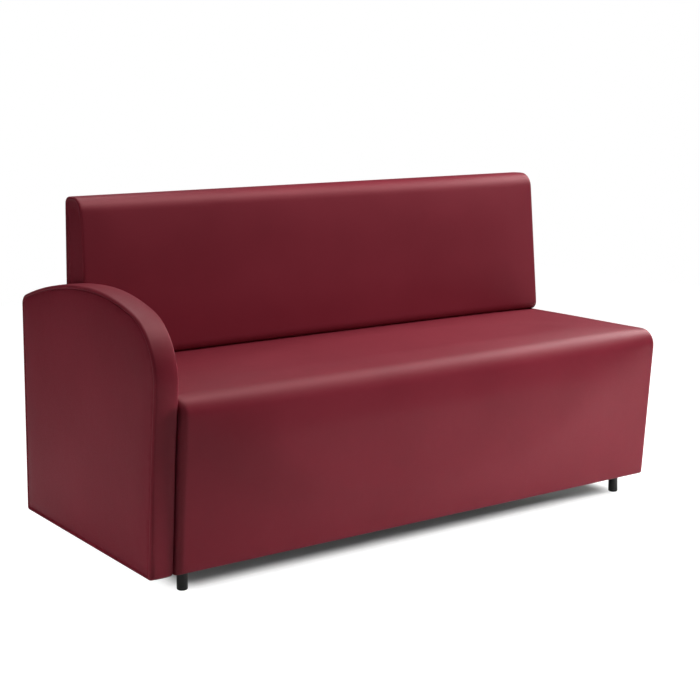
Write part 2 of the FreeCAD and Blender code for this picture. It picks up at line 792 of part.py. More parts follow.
core_middle = foam_low + dim.arm_core_width / 2
head_room = dim.bolt_head_size / 2 + dim.bolt_head_clearance
front_core = base_face(bolt_high - head_room, front_panel_depth) + head_room
rear_core = rear - board_inset - dim.arm_core_width / 2
arm_bolt_places = [
    (front_core, bolt_high),
    (rear_core, bolt_high),
    ((block_y["front"][1] + spine_front) / 2, core_middle),
    ((post_rear + block_y["rear"][0]) / 2, core_middle),
]
insert_end = core_inner - dim.insert_length
bolt_radius = dim.bolt_diameter / 2
hole_radius = bolt_radius + dim.hole_clearance
insert_radius = dim.insert_diameter / 2
arm_bolts = []
arm_bolt_holes = []
insert_holes = []
inserts = []
for number, (y, z) in enumerate(arm_bolt_places, start=1):
    start = (insert_end, y, z)
    shank = rod(f"arm_bolt_shank_{number}", bolt_radius, start, "x", inside_left - insert_end)
    head = rod(f"arm_bolt_head_{number}", dim.bolt_head_size / 2, (inside_left, y, z), "x", dim.bolt_head_height)
    arm_bolts.append(join(f"arm_bolt_{number}", [shank, head]))
    past = (inside_left - insert_end) + dim.bolt_head_height
    arm_bolt_holes.append(rod(f"arm_bolt_hole_{number}", hole_radius, start, "x", past))
    blind = insert_radius + dim.hole_clearance
    insert_holes.append(rod(f"insert_hole_{number}", blind, start, "x", dim.insert_length * 2))
    sleeve = rod(f"insert_sleeve_{number}", insert_radius, start, "x", dim.insert_length)
    bore = bolt_radius + dim.stud_clearance
    thread = rod(f"insert_bore_{number}", bore, start, "x", dim.insert_length * 2)
    inserts.append(cut(f"arm_insert_{number}", sleeve, thread))
keep(group("arm_bolts", arm_bolts))
keep(group("arm_threaded_inserts", inserts))
holes = group("arm_bolt_holes", arm_bolt_holes)
keep(cut("base_end_panel_left", end_panel_left, holes))
keep(cut("base_end_foam_left", end_foam_left, holes))
keep(cut("base_end_cover_left", end_cover_left, holes))
keep(cut("arm_inner_cover", arm_inner_cover, holes))
keep(cut("arm_inner_foam", arm_inner_foam, holes))
keep(cut("arm_inner_board", arm_inner_board, holes))
keep(cut("arm_core_frame", arm_core, group("insert_holes", insert_holes)))

# Bolts and nuts that hold the posts of the back to the spine

back_bolts = []
back_nuts = []
back_bolt_holes = {}
hole_start = spine_front - dim.bolt_head_height
bolt_end = post_rear + dim.nut_height
for name, start in post_places.items():
    x = start + dim.post_width / 2
    back_bolt_holes[name] = []
    for level, z in (("low", bolt_low), ("high", bolt_high)):
        tag = f"{name}_{level}"
        shank = rod(f"back_bolt_shank_{tag}", bolt_radius, (x, spine_front, z), "y", bolt_end - spine_front)
        head = hexagon(f"back_bolt_head_{tag}", dim.bolt_head_size, (x, hole_start, z), dim.bolt_head_height)
        back_bolts.append(join(f"back_bolt_{tag}", [shank, head]))
        blank = hexagon(f"back_nut_blank_{tag}", dim.bolt_head_size, (x, post_rear, z), dim.nut_height)
        bore = bolt_radius + dim.stud_clearance
        thread = rod(f"back_nut_bore_{tag}", bore, (x, spine_front, z), "y", bolt_end - hole_start)
        back_nuts.append(cut(f"back_nut_{tag}", blank, thread))
        hole = rod(f"back_bolt_hole_{tag}", hole_radius, (x, hole_start, z), "y", bolt_end - hole_start)
        back_bolt_holes[name].append(hole)
keep(group("back_bolts", back_bolts))
keep(group("back_nuts", back_nuts))
for name, blank in post_blanks.items():
    keep(cut(f"back_post_{name}", blank, group(f"back_post_holes_{name}", back_bolt_holes[name])))
spine_holes = group("spine_holes", [hole for holes in back_bolt_holes.values() for hole in holes])
keep(cut("base_spine_panel", spine, spine_holes))

# Feet: a tube welded to a plate, a threaded plug in the tube and a glide that screws in and out

foot_x = {"left": left + dim.foot_end_inset, "right": right - dim.foot_end_inset}
foot_y = {"front": front_foot + dim.foot_edge_inset, "rear": rear - dim.foot_edge_inset}
block_x = {
    "left": (inside_left, inside_left + dim.foot_block_side),
    "right": (inside_right - dim.foot_block_side, inside_right),
}
tube_low = dim.glide_thickness + dim.cover_slack
plate_low = carcass_low - dim.foot_plate_thickness
foot_radius = dim.foot_diameter / 2
tube_bore = foot_radius - dim.foot_wall
stud_radius = dim.stud_diameter / 2
glide_top = dim.glide_thickness + dim.stud_length
screw_radius = dim.foot_screw_diameter / 2
screw_head = dim.foot_screw_head_diameter / 2
screw_height = dim.foot_screw_length - dim.foot_screw_head_height


def foot_screw(label, x, y, extra):
    """A countersunk screw through a foot plate, made larger by an extra radius where it is a hole."""
    head = doc.addObject("Part::Cone", f"{label}_head")
    bind(head, "Radius1", screw_head + extra)
    bind(head, "Radius2", screw_radius + extra)
    bind(head, "Height", dim.foot_screw_head_height)
    for axis, size in zip("xyz", (x, y, plate_low)):
        bind(head, f"Placement.Base.{axis}", size)
    start = (x, y, plate_low + dim.foot_screw_head_height)
    shank = rod(f"{label}_shank", screw_radius + extra, start, "z", screw_height + extra)
    return join(label, [head, shank])


legs = []
plugs = []
screws = []
blocks = []
leg_holes = []
for end, y in foot_y.items():
    for side, x in foot_x.items():
        tag = f"{end}_{side}"
        screw_places = [(across, along) for across in (-1, 1) for along in (-1, 1)]
        screw_holes = []
        for number, (across, along) in enumerate(screw_places, start=1):
            place = (x + dim.foot_screw_offset * across, y + dim.foot_screw_offset * along)
            screws.append(foot_screw(f"foot_screw_{tag}_{number}", *place, as_size(0)))
            screw_holes.append(foot_screw(f"foot_screw_hole_{tag}_{number}", *place, dim.hole_clearance))
        pilot = group(f"foot_screw_holes_{tag}", screw_holes)

        half = dim.foot_plate_side / 2
        plate = bar(f"foot_plate_{tag}", (x - half, x + half), (y - half, y + half), (plate_low, carcass_low))
        tube = rod(f"foot_tube_{tag}", foot_radius, (x, y, tube_low), "z", plate_low - tube_low)
        bore = rod(f"foot_bore_{tag}", tube_bore, (x, y, tube_low), "z", plate_low - tube_low)
        hollow_tube = cut(f"foot_hollow_tube_{tag}", tube, bore)
        legs.append(join(f"foot_leg_{tag}", [cut(f"foot_drilled_plate_{tag}", plate, pilot), hollow_tube]))

        plug_radius = tube_bore - dim.stud_clearance
        plug = rod(f"foot_plug_blank_{tag}", plug_radius, (x, y, tube_low), "z", dim.plug_length)
        thread_radius = stud_radius + dim.stud_clearance
        thread = rod(f"foot_plug_bore_{tag}", thread_radius, (x, y, tube_low), "z", dim.plug_length)
        plugs.append(cut(f"foot_plug_{tag}", plug, thread))

        height = (carcass_low, carcass_low + dim.foot_block_height)
        block = bar(f"foot_block_blank_{tag}", block_x[side], block_y[end], height)
        blocks.append(cut(f"foot_block_{tag}", block, pilot))
        hole = foot_radius + dim.hole_clearance
        leg_holes.append(rod(f"leg_hole_{tag}", hole, (x, y, bottom - CUT_REACH), "z", as_size(CUT_REACH * 2)))

        glide = doc.addObject("PartDesign::Body", f"glide_{tag}")
        centre = as_size(0)
        glide_outline = [
            (centre, centre),
            (foot_radius - dim.glide_edge_chamfer, centre),
            (foot_radius, dim.glide_edge_chamfer),
            (foot_radius, dim.glide_thickness),
            (stud_radius, dim.glide_thickness),
            (stud_radius, glide_top),
            (centre, glide_top),
        ]
        turned = glide.newObject("PartDesign::Revolution", f"glide_{tag}_turned")
        profile = side_sketch(glide, f"glide_{tag}_outline", [glide_outline], centre)
        turned.Profile = profile
        turned.ReferenceAxis = (profile, ["V_Axis"])
        turned.Angle = 360
        glide.Tip = turned
        bind(glide, "Placement.Base.x", x)
        bind(glide, "Placement.Base.y", y)
        keep(glide)
keep(group("foot_legs", legs))
keep(group("foot_threaded_plugs", plugs))
keep(group("foot_screws", screws))
keep(group("foot_blocks", blocks))
keep(cut("base_dust_cover", dust_cover, group("leg_holes", leg_holes)))

# Check every piece and write it out

doc.recompute()
for item in doc.Objects:
    if "Invalid" in item.State or "Error" in item.State:
        raise RuntimeError(f"{item.Label} did not build: {item.State}")
os.makedirs(STEP_FOLDER, exist_ok=True)
for item in subparts:
    if item.Shape.isNull() or not item.Shape.isValid() or not item.Shape.Solids:
        raise RuntimeError(f"{item.Label} has no valid solid")
    item.Shape.exportStep(f"{STEP_FOLDER}/{item.Label}.step")
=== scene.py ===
import json
import math

import bmesh
import bpy
from mathutils import Matrix, Vector, kdtree


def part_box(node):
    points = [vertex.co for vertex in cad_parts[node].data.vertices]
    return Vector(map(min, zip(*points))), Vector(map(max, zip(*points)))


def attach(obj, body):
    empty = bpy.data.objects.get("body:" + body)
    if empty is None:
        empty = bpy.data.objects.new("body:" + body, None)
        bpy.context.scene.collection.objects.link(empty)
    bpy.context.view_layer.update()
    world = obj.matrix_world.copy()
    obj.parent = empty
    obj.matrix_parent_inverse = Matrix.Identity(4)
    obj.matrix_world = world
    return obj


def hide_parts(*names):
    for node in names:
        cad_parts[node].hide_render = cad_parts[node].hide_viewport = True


# A leatherette banquette with one arm, dressed around its solids.
# Metres, +Z up, the seat's front towards -Y, the arm at the -X end.

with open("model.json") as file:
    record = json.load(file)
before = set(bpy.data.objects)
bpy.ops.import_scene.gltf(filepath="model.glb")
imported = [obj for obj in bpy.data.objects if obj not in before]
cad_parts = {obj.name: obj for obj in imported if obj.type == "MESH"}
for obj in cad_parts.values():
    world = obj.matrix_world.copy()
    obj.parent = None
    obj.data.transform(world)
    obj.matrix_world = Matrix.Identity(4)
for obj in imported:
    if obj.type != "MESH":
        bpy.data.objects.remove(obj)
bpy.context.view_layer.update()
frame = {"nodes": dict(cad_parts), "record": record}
nodes = frame["nodes"]

# Places taken from the solids

END_LOW, END_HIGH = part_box("base_end_cover_right")
BACK_END_LOW, BACK_END_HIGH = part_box("back_end_cover_left")
ARM_LOW, ARM_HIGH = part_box("arm_band_cover")
ARM_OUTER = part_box("arm_outer_cover")[0].x
ARM_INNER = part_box("arm_inner_cover")[1].x
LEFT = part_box("base_end_cover_left")[0].x
RIGHT = END_HIGH.x
FRONT, REAR = END_LOW.y, END_HIGH.y
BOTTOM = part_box("seat_cover")[0].z
SEAT_TOP = END_HIGH.z
BACK_REAR = BACK_END_HIGH.y
BACK_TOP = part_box("back_cover")[1].z
BACK_FOOT = BACK_END_LOW.z

# Sizes of the sewn forms, and the front of the back at its foot and at its top

FRONT_RAKE = 0.040
NOSE_REACH = 0.046
BACK_FOOT_DEPTH = 0.108
BACK_TOP_DEPTH = 0.080
BACK_FRONT_LOW = BACK_REAR - BACK_FOOT_DEPTH
BACK_FRONT_HIGH = BACK_REAR - BACK_TOP_DEPTH
BACK_TOP_ROUND = 0.036
BACK_REAR_ROUND = 0.018
BACK_FOOT_ROUND = 0.024
BACK_FRONT_SWELL = 0.003
BACK_REAR_SWELL = 0.004
BACK_REAR_FLARE = 0.012
BACK_REAR_FOOT_ROUND = 0.009
SEAT_FRONT_SWELL = 0.004
SEAT_NOSE_LEAN = 0.0045
SEAT_REAR_ROUND = 0.012
SEAT_FOOT_ROUND = 0.0055
SEAT_LEFT_ROUND = 0.016
SEAT_CROWN = 0.0042
LEAST_ROUND = 0.001
BASE_DROP = 0.003
CROWN_ROOM = 0.0015

# Ends of the covers: how far they lie inside the solids, their rolled rims and their sunk middles

END_PLAY = 0.0005
END_ROLL = 0.0060
SEAT_END_RECESS = 0.004
BACK_END_RECESS = 0.0085
RECESS_LIP = 0.0012

# Sewn end panels: their gap to the rolled rim, and how deep their two faces lie in the ends

PANEL_GAP = 0.0016
PANEL_INSET = END_ROLL + PANEL_GAP
SEAT_PANEL_FACE = 0.0028
SEAT_PANEL_DEPTH = 0.0115
BACK_PANEL_FACE = 0.0068
BACK_PANEL_DEPTH = 0.0150
SEAM_ROLL = 0.0014
PANEL_CROWN = 0.0018
PANEL_SOFTNESS = 0.020

# Mesh spacing

COVER_GRID = 0.021
PANEL_RIM_STEP = 0.010
PANEL_RING_STEP = 0.0045
PANEL_CROWN_STEP = 0.016
BAND_RIM_STEP = 0.012
BAND_RING_STEP = 0.0065

# Stretch of the covers

SEAT_PRESSURE = 0.16
BACK_PRESSURE = 0.20
MOST_SWELL = 0.012
HOLD_FADE = 0.030
STRETCH_STEPS = 20

# Arm outline, that of the solids with a slightly higher top

ARM_CREST_SETBACK = 0.310
ARM_REAR_DROP = 0.062
ARM_SHOULDER_RADIUS = 0.149
ARM_SHOULDER_ANGLE = math.radians(17)
ARM_REAR_CORNER = 0.020
ARM_FOOT_CORNER = 0.008
ARM_OUTER_ROLL = 0.0085
ARM_INNER_ROLL = 0.003
ARM_SWELL = 0.004
ARM_LEAST_CORNER = 0.002

# Arm panels and band

ARM_OUTER_PANEL_FACE = 0.0022
ARM_PANEL_DEPTH = 0.0115
ARM_INNER_PANEL_FACE = 0.0028
ARM_OUTER_PANEL_GAP = 0.0021
ARM_INNER_PANEL_GAP = 0.0026
ARM_OUTER_CROWN = 0.0052
ARM_OUTER_SOFTNESS = 0.022
ARM_OUTER_CROWN_STEP = 0.014
ARM_BAND_INSET = 0.0006
ARM_BAND_CROWN = 0.0012
ARM_END_RECESS = 0.004
ARM_FRONT_EASE = 0.004
ARM_EASE_REACH = 0.10
ARM_EASE_LOW = 0.30
ARM_EASE_RUN = 0.24


def add_piece(name, bm, material, *stands_for):
    """Makes a finished mesh an object that rides on the bench and stands for some of its solids."""
    mesh = bpy.data.meshes.new(name)
    bm.normal_update()
    bm.to_mesh(mesh)
    bm.free()
    mesh.materials.append(material)
    for polygon in mesh.polygons:
        polygon.use_smooth = True
    piece = bpy.data.objects.new(name, mesh)
    bpy.context.scene.collection.objects.link(piece)
    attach(piece, "bench")
    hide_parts(*stands_for)
    return piece


# Materials

def new_finish(name, roughness):
    """A new finish: its material, its node tree and its shader."""
    material = bpy.data.materials.new(name)
    material.use_nodes = True
    tree = material.node_tree
    shader = tree.nodes["Principled BSDF"]
    shader.inputs["Roughness"].default_value = roughness
    return material, tree, shader


def texture(tree, kind, scale, **settings):
    """A texture on the piece's own coordinates."""
    place = tree.nodes.get("Texture Coordinate") or tree.nodes.new("ShaderNodeTexCoord")
    node = tree.nodes.new(kind)
    node.inputs["Scale"].default_value = scale
    for name, value in settings.items():
        if name in node.inputs:
            node.inputs[name].default_value = value
        else:
            setattr(node, name, value)
    tree.links.new(place.outputs["Object"], node.inputs["Vector"])
    return node


def ramp(tree, source, low, high, start=0.0, end=1.0):
    """Two colours or two greys spread over a texture's range."""
    node = tree.nodes.new("ShaderNodeValToRGB")
    node.color_ramp.elements[0].position = start
    node.color_ramp.elements[1].position = end
    node.color_ramp.elements[0].color = (*low, 1)
    node.color_ramp.elements[1].color = (*high, 1)
    tree.links.new(source, node.inputs["Fac"])
    return node


def bump(tree, shader, height, strength, distance, under=None):
    """A fine relief on a finish, on top of another relief if one is given."""
    node = tree.nodes.new("ShaderNodeBump")
    node.inputs["Strength"].default_value = strength
    node.inputs["Distance"].default_value = distance
    tree.links.new(height, node.inputs["Height"])
    if under:
        tree.links.new(under.outputs["Normal"], node.inputs["Normal"])
    tree.links.new(node.outputs["Normal"], shader.inputs["Normal"])
    return node


def grey(value):
    return (value, value, value)


def leatherette(name, light, dark):
    """Coated upholstery cloth: a fine pebble grain, slow colour drift and a satin surface."""
    material, tree, shader = new_finish(name, 0.42)
    drift = texture(tree, "ShaderNodeTexNoise", 5.0, Detail=3.0)
    colour = ramp(tree, drift.outputs["Fac"], dark, light, 0.3, 0.7)
    tree.links.new(colour.outputs["Color"], shader.inputs["Base Color"])
    pebbles = texture(tree, "ShaderNodeTexVoronoi", 780.0, feature="SMOOTH_F1", Smoothness=0.4)
    fine = texture(tree, "ShaderNodeTexNoise", 420.0, Detail=4.0, Roughness=0.6)
    sheen = ramp(tree, fine.outputs["Fac"], grey(0.44), grey(0.56), 0.25, 0.75)
    tree.links.new(sheen.outputs["Color"], shader.inputs["Roughness"])
    waves = texture(tree, "ShaderNodeTexNoise", 26.0, Detail=2.0)
    soft = bump(tree, shader, waves.outputs["Fac"], 0.10, 0.004)
    grain = bump(tree, shader, pebbles.outputs["Distance"], 0.16, 0.0006, soft)
    bump(tree, shader, fine.outputs["Fac"], 0.08, 0.0004, grain)
    shader.inputs["Specular IOR Level"].default_value = 0.42
    shader.inputs["Specular Tint"].default_value = (1.0, 0.44, 0.44, 1)
    return material


def timber(name, light, dark, along):
    """Bare wood with grain along one axis."""
    material, tree, shader = new_finish(name, 0.62)
    waves = texture(tree, "ShaderNodeTexWave", 9.0, wave_type="BANDS", bands_direction=along,
                    Distortion=7.0, Detail=3.0)
    waves.inputs["Detail Scale"].default_value = 1.6
    colour = ramp(tree, waves.outputs["Fac"], dark, light, 0.15, 0.85)
    tree.links.new(colour.outputs["Color"], shader.inputs["Base Color"])
    pores = texture(tree, "ShaderNodeTexNoise", 240.0, Detail=4.0)
    bump(tree, shader, pores.outputs["Fac"], 0.2, 0.0005)
    return material


def open_foam():
    """Cut foam with open cells."""
    material, tree, shader = new_finish("cut_foam", 0.92)
    cells = texture(tree, "ShaderNodeTexVoronoi", 420.0)
    colour = ramp(tree, cells.outputs["Distance"], (0.70, 0.62, 0.40), (0.82, 0.76, 0.56))
    tree.links.new(colour.outputs["Color"], shader.inputs["Base Color"])
    bump(tree, shader, cells.outputs["Distance"], 0.5, 0.001)
    return material


def woven(name, light, dark, scale):
    """A flat weave, for the straps and the dust cover."""
    material, tree, shader = new_finish(name, 0.88)
    across = texture(tree, "ShaderNodeTexWave", scale, bands_direction="X")
    along = texture(tree, "ShaderNodeTexWave", scale, bands_direction="Y")
    cross = tree.nodes.new("ShaderNodeMath")
    cross.operation = "MULTIPLY"
    tree.links.new(across.outputs["Fac"], cross.inputs[0])
    tree.links.new(along.outputs["Fac"], cross.inputs[1])
    colour = ramp(tree, cross.outputs["Value"], dark, light)
    tree.links.new(colour.outputs["Color"], shader.inputs["Base Color"])
    bump(tree, shader, cross.outputs["Value"], 0.4, 0.0006)
    return material


def powder_coat():
    """Black coated steel, for the feet."""
    material, tree, shader = new_finish("black_powder_coat", 0.45)
    speckle = texture(tree, "ShaderNodeTexNoise", 900.0, Detail=3.0)
    colour = ramp(tree, speckle.outputs["Fac"], grey(0.010), grey(0.022), 0.3, 0.7)
    tree.links.new(colour.outputs["Color"], shader.inputs["Base Color"])
    bump(tree, shader, speckle.outputs["Fac"], 0.25, 0.0004)
    return material


def moulded_plastic():
    """Black plastic, for the glides."""
    material, tree, shader = new_finish("black_moulded_plastic", 0.55)
    haze = texture(tree, "ShaderNodeTexNoise", 300.0, Detail=3.0)
    colour = ramp(tree, haze.outputs["Fac"], grey(0.012), grey(0.020), 0.3, 0.7)
    tree.links.new(colour.outputs["Color"], shader.inputs["Base Color"])
    bump(tree, shader, haze.outputs["Fac"], 0.15, 0.0003)
    return material


def zinc_plate():
    """Plated steel, for the screws, bolts and nuts."""
    material, tree, shader = new_finish("zinc_plate", 0.32)
    shader.inputs["Metallic"].default_value = 1.0
    haze = texture(tree, "ShaderNodeTexNoise", 220.0, Detail=4.0)
    colour = ramp(tree, haze.outputs["Fac"], (0.48, 0.50, 0.52), (0.66, 0.67, 0.68), 0.3, 0.7)
    tree.links.new(colour.outputs["Color"], shader.inputs["Base Color"])
    bump(tree, shader, haze.outputs["Fac"], 0.1, 0.0003)
    return material


burgundy = leatherette("burgundy_leatherette", (0.165, 0.0150, 0.0265), (0.146, 0.0118, 0.0220))
finishes = {
    "leatherette": burgundy,
    "foam": open_foam(),
    "plywood": timber("birch_plywood", (0.66, 0.48, 0.29), (0.52, 0.35, 0.20), "Z"),
    "pine": timber("planed_pine", (0.74, 0.56, 0.33), (0.58, 0.40, 0.21), "Y"),
    "hardboard": timber("hardboard", (0.30, 0.19, 0.10), (0.24, 0.15, 0.08), "Z"),
    "webbing": woven("elastic_webbing", (0.20, 0.15, 0.10), (0.07, 0.05, 0.035), 320.0),
    "dust_cloth": woven("black_dust_cloth", (0.022, 0.022, 0.022), (0.008, 0.008, 0.008), 500.0),
    "black_steel": powder_coat(),
    "zinc_steel": zinc_plate(),
    "glide_plastic": moulded_plastic(),
}
for entry in frame["record"]["subparts"]:
    mesh = nodes[entry["node"]].data
    mesh.materials.clear()
    mesh.materials.append(finishes[entry["material_slot"]])


# Sewn forms

def outline_face(bm, x, corners, rounds):
    """A side-view face at a place along x. Corners are (y, z). Rounds gives a corner's reach and steps."""
    points = [bm.verts.new((x, y, z)) for y, z in corners]
    bm.faces.new(points)
    for index, (reach, steps) in rounds.items():
        bmesh.ops.bevel(bm, geom=[points[index]], offset=reach, offset_type="OFFSET", segments=steps,
                        profile=0.5, affect="VERTICES", material=-1, clamp_overlap=True)


def finer_edges(bm, longest):
    """Cuts every edge longer than a length into even shorter ones."""
    lengths = {}
    for edge in bm.edges:
        cuts = math.ceil(edge.calc_length() / longest) - 1
        if cuts > 0:
            lengths.setdefault(cuts, []).append(edge)
    for cuts, edges in lengths.items():
        bmesh.ops.subdivide_edges(bm, edges=edges, cuts=cuts)


def stretch_along_x(bm, x_start, x_end, step):
    """Draws a side-view face out along x and cuts it into rings."""
    grown = bmesh.ops.extrude_face_region(bm, geom=list(bm.faces))
    moved = [item for item in grown["geom"] if isinstance(item, bmesh.types.BMVert)]
    bmesh.ops.translate(bm, verts=moved, vec=(x_end - x_start, 0, 0))
    bmesh.ops.recalc_face_normals(bm, faces=bm.faces)
    runs = [edge for edge in bm.edges if abs(edge.verts[0].co.x - edge.verts[1].co.x) > 1e-6]
    cuts = round((x_end - x_start) / step) - 1
    bmesh.ops.subdivide_edges(bm, edges=runs, cuts=cuts, use_grid_fill=True)


def roll_rims(bm, places, roll, steps):
    """Rolls the rims that lie at the given places along x over to their seams."""
    rims = [edge for edge in bm.edges
            if any(all(abs(vert.co.x - place) < 1e-6 for vert in edge.verts) for place in places)]
    bmesh.ops.bevel(bm, geom=rims, offset=roll, offset_type="OFFSET", segments=steps, profile=0.5,
                    affect="EDGES", material=-1, clamp_overlap=True)


def puff(piece, held, pressure, cap):
    """Swells a cover between its held edges with a cloth simulation, up to a cap, and keeps the result."""
    start = [vertex.co.copy() for vertex in piece.data.vertices]
    group = piece.vertex_groups.new(name="held")
    for vertex in piece.data.vertices:
        group.add([vertex.index], held(vertex.co), "REPLACE")
    cloth = piece.modifiers.new("cover", "CLOTH")
    settings = cloth.settings
    settings.quality = 6
    settings.mass = 0.4
    settings.tension_stiffness = 40
    settings.compression_stiffness = 40
    settings.shear_stiffness = 20
    settings.bending_stiffness = 8
    settings.use_pressure = True
    settings.uniform_pressure_force = pressure
    settings.vertex_group_mass = "held"
    settings.effector_weights.gravity = 0
    cloth.point_cache.frame_start = 1
    cloth.point_cache.frame_end = STRETCH_STEPS
    for step in range(1, STRETCH_STEPS + 1):
        bpy.context.scene.frame_set(step)
    seen = piece.evaluated_get(bpy.context.evaluated_depsgraph_get())
    swollen = [vertex.co.copy() for vertex in seen.data.vertices]
    piece.modifiers.remove(cloth)
    bpy.context.scene.frame_set(1)
    for vertex, before, after in zip(piece.data.vertices, start, swollen):
        move = after - before
        if move.length > cap:
            move.length = cap
        vertex.co = before + move
    piece.data.update()


def smooth_step(value):
    """A soft rise from 0 to 1 as the value goes from 0 to 1."""
    value = min(1.0, max(0.0, value))
    return value * value * (3 - 2 * value)


def refine(piece, levels):
    """Rounds of subdivision, kept in the mesh."""
    finer = piece.modifiers.new("finer", "SUBSURF")
    finer.levels = levels
    finer.render_levels = levels
    seen = piece.evaluated_get(bpy.context.evaluated_depsgraph_get())
    mesh = bpy.data.meshes.new_from_object(seen)
    piece.modifiers.remove(finer)
    old = piece.data
    name = old.name
    piece.data = mesh
    bpy.data.meshes.remove(old)
    mesh.name = name


def recess_ends(bm, places, depth):
    """Sinks the flat ends at the given places along x, so that a sewn panel can lie in them."""
    for place, inward in places:
        flat = [face for face in bm.faces if all(abs(vert.co.x - place) < 1e-6 for vert in face.verts)]
        end = max(flat, key=lambda face: face.calc_area())
        bmesh.ops.inset_region(bm, faces=[end], thickness=RECESS_LIP, use_even_offset=True)
        bmesh.ops.translate(bm, verts=end.verts, vec=(inward * depth, 0, 0))


def wrapped_form(name, outline, rounds, recess, nodes_replaced):
    """One cover drawn over a side-view outline along the whole bench, with rolled and sunk ends."""
    bm = bmesh.new()
    start, end = LEFT + END_PLAY, RIGHT - END_PLAY
    outline_face(bm, start, outline, rounds)
    finer_edges(bm, COVER_GRID)
    stretch_along_x(bm, start, end, COVER_GRID)
    roll_rims(bm, (start, end), END_ROLL, 4)
    recess_ends(bm, ((start, 1), (end, -1)), recess)
    return add_piece(name, bm, burgundy, *nodes_replaced)


def crown_face(bm, x_face, facing, rise, softness, spacing):
    """Cuts the flat face at a place along x into a grid and swells it, least at its rim."""
    def on_face(face):
        return abs(face.normal.x) > 0.99 and all(abs(vert.co.x - x_face) < 1e-6 for vert in face.verts)

    rim = [vert.co.copy() for face in bm.faces if on_face(face) for vert in face.verts]
    tree = kdtree.KDTree(len(rim))
    for index, place in enumerate(rim):
        tree.insert(place, index)
    tree.balance()
    for axis in (1, 2):
        low = min(place[axis] for place in rim)
        high = max(place[axis] for place in rim)
        count = math.ceil((high - low) / spacing)
        for number in range(1, count):
            middle = Vector((x_face, 0, 0))
            middle[axis] = low + (high - low) * number / count
            across = Vector((0, 0, 0))
            across[axis] = 1
            faces = [face for face in bm.faces if on_face(face)]
            pieces = faces + list({edge for face in faces for edge in face.edges})
            pieces += list({vert for face in faces for vert in face.verts})
            bmesh.ops.bisect_plane(bm, geom=pieces, dist=1e-6, plane_co=middle, plane_no=across)
    for vert in {vert for face in bm.faces if on_face(face) for vert in face.verts}:
        away = tree.find(vert.co)[2]
        vert.co.x += facing * rise * (1 - math.exp(-away / softness))


def end_panel(name, outline, rounds, x_inner, x_outer, nodes_replaced):
    """A sewn end panel that lies in a sunk end, with rolled rims and a slight crown on its outer face."""
    bm = bmesh.new()
    low, high = sorted((x_inner, x_outer))
    outline_face(bm, low, outline, rounds)
    finer_edges(bm, PANEL_RIM_STEP)
    stretch_along_x(bm, low, high, PANEL_RING_STEP)
    roll_rims(bm, (x_inner, x_outer), SEAM_ROLL, 2)
    facing = 1 if x_outer > x_inner else -1
    crown_face(bm, x_outer, facing, PANEL_CROWN, PANEL_SOFTNESS, PANEL_CROWN_STEP)
    piece = add_piece(name, bm, burgundy, *nodes_replaced)


# Seat block: one cover over the top, the nose and the raked front

def seat_outline(room, inset):
    """The seat's side view: front foot, rear foot, rear top and nose, with room for the crown."""
    low = BOTTOM - BASE_DROP + inset
    front = FRONT - SEAT_FRONT_SWELL + room + inset
    return [(front + FRONT_RAKE, low), (REAR - inset, low),
            (REAR - inset, SEAT_TOP - room - inset), (front - SEAT_NOSE_LEAN, SEAT_TOP - room - inset)]


def seat_rounds(inset):
    """Reach and steps of the round at each corner of the seat's side view."""
    foot = (max(SEAT_FOOT_ROUND - inset, LEAST_ROUND), 3)
    return {3: (NOSE_REACH - inset, 8), 2: (SEAT_REAR_ROUND - inset, 3), 0: foot, 1: foot}


seat = wrapped_form("seat_upholstery", seat_outline(CROWN_ROOM, 0), seat_rounds(0), SEAT_END_RECESS,
                    ("seat_cover", "seat_foam", "base_front_foam", "ledge_foam", "base_rear_cover"))


def held_ends(place):
    """How firmly a cover is held near the two ends of the bench."""
    return 1 - smooth_step((min(place.x - LEFT, RIGHT - place.x) - END_ROLL) / HOLD_FADE)


def seat_held(place):
    """How firmly the seat cover is held: at its ends, under the base and from the foot of the back on."""
    under = 1 - smooth_step((place.z - BOTTOM) / HOLD_FADE)
    run_in = 0.040
    behind = smooth_step((place.y - BACK_FRONT_LOW + run_in) / run_in)
    return max(held_ends(place), under, behind)


def seat_crown(x):
    """How far the seat stands up in front of the back, most in the middle of the bench."""
    share = (x - (LEFT + RIGHT) / 2) / ((RIGHT - LEFT) / 2)
    return SEAT_CROWN * max(0.0, 1 - share ** 4)


def round_to_arm(piece):
    """Rounds the left edge of the seat's front, where the cover turns in towards the arm."""
    front_depth = 0.050
    most = 0.97 * SEAT_LEFT_ROUND
    for vertex in piece.data.vertices:
        place = vertex.co
        short = max(0.0, SEAT_LEFT_ROUND - (place.x - LEFT))
        if short > 0:
            turned = SEAT_LEFT_ROUND - math.sqrt(SEAT_LEFT_ROUND ** 2 - min(short, most) ** 2)
            at_front = 1 - smooth_step((place.y - FRONT - front_depth) / front_depth)
            vertex.co.y += turned * at_front
    piece.data.update()


def crown_seat(piece):
    """Raises the seat's top from the nose to the foot of the back, which it presses against."""
    top_depth, top_run = 0.040, 0.030
    nose_depth, nose_run = 0.070, 0.280
    under_back, under_run = 0.040, 0.050
    for vertex in piece.data.vertices:
        place = vertex.co
        on_top = smooth_step((place.z - SEAT_TOP + top_depth) / top_run)
        back_from_nose = smooth_step((place.y - FRONT - nose_depth) / nose_run)
        before_back = 1 - smooth_step((place.y - BACK_FRONT_LOW - under_back) / under_run)
        vertex.co.z += on_top * back_from_nose * (CROWN_ROOM + seat_crown(place.x) * before_back)
    piece.data.update()


